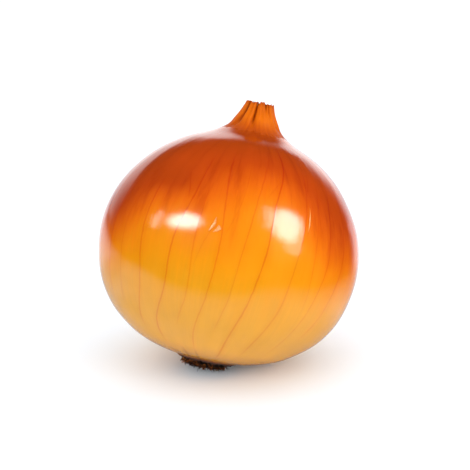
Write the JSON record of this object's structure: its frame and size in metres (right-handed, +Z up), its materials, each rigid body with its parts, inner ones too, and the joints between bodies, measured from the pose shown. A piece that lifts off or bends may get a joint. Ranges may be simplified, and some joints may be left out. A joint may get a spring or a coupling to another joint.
{
  "type": "onion",
  "caption": "Whole yellow onion in its dry papery skin, with a pleated cut neck and a root plate of trimmed roots, resting tilted on its belly and roots.",
  "frame": {"origin": "on the surface that the onion rests on, below the middle of its bounding box", "axes": "+Z up from that surface; -Y is the side that shows the root plate; the onion's growing axis leans 20 degrees from +Z, towards +X and +Y"},
  "size_m": [0.0802, 0.0794, 0.0818],
  "materials": {
    "dry_skin": "gloss",
    "dry_root": "matte"
  },
  "bodies": {
    "root": {"bulb": "dry_skin", "root_plate": "dry_root"}
  },
  "joints": []
}
